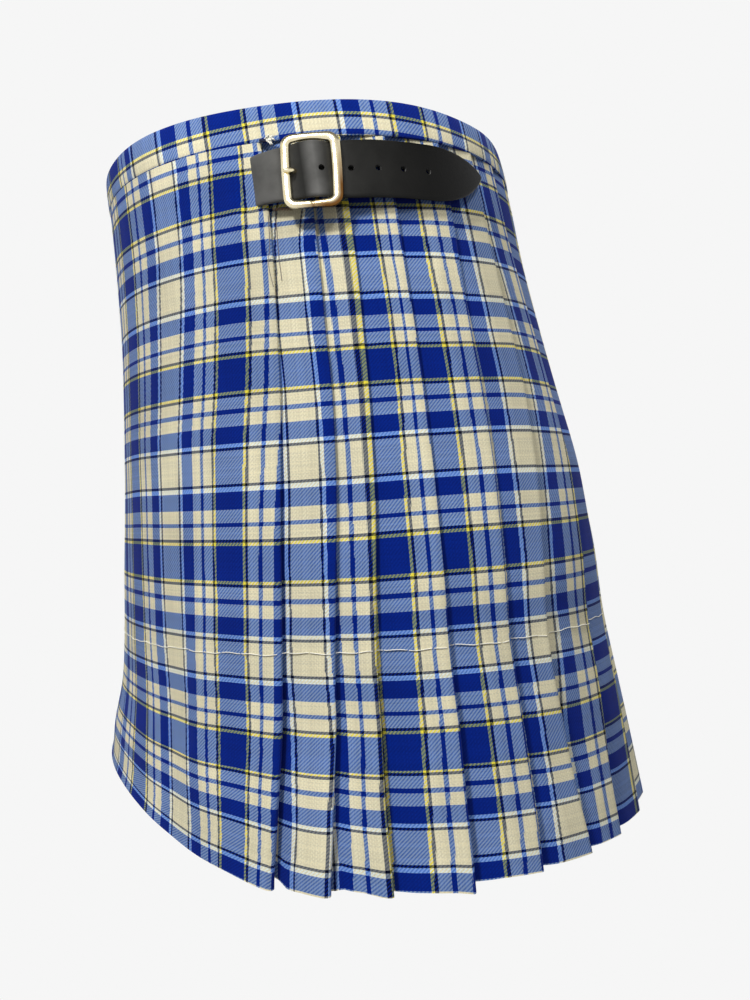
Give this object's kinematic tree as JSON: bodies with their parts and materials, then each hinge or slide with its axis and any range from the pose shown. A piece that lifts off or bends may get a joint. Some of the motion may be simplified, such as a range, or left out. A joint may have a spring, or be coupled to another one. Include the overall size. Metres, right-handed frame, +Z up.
{
  "type": "Scottish kilt, worn, with nothing of the wearer in it",
  "caption": "Short Scottish kilt in blue and cream tartan in its worn shape: plain lapped front, knife pleats behind, narrow waistband, black leather hip strap and pale brass buckle.",
  "frame": {"origin": "middle of the waist opening, level with the waistband's top edge at the hips, where the wearer's waist holds the kilt up", "axes": "+Z up along the body, -Y to the wearer's front (the plain apron), +Y to the pleated back, +X to the wearer's left hip (the strap and buckle in the slit of the apron)"},
  "size_m": [0.4024, 0.3463, 0.4084],
  "materials": {
    "blue_tartan_cloth": "matt wool twill in a blue, cream, black, yellow and white check",
    "black_leather": "smooth, low sheen",
    "pale_brass": "polished, pale and a little worn"
  },
  "bodies": {
    "root": {"outer_apron": "blue_tartan_cloth", "under_apron": "blue_tartan_cloth", "pleats_left": "blue_tartan_cloth", "pleats_back": "blue_tartan_cloth", "pleats_right": "blue_tartan_cloth", "waistband": "blue_tartan_cloth", "strap_left": "black_leather", "strap_right": "black_leather", "buckle_frame_left": "pale_brass", "buckle_frame_right": "pale_brass", "buckle_prong_left": "pale_brass", "buckle_prong_right": "pale_brass", "buckle_chape_left": "black_leather", "buckle_chape_right": "black_leather"}
  },
  "joints": []
}
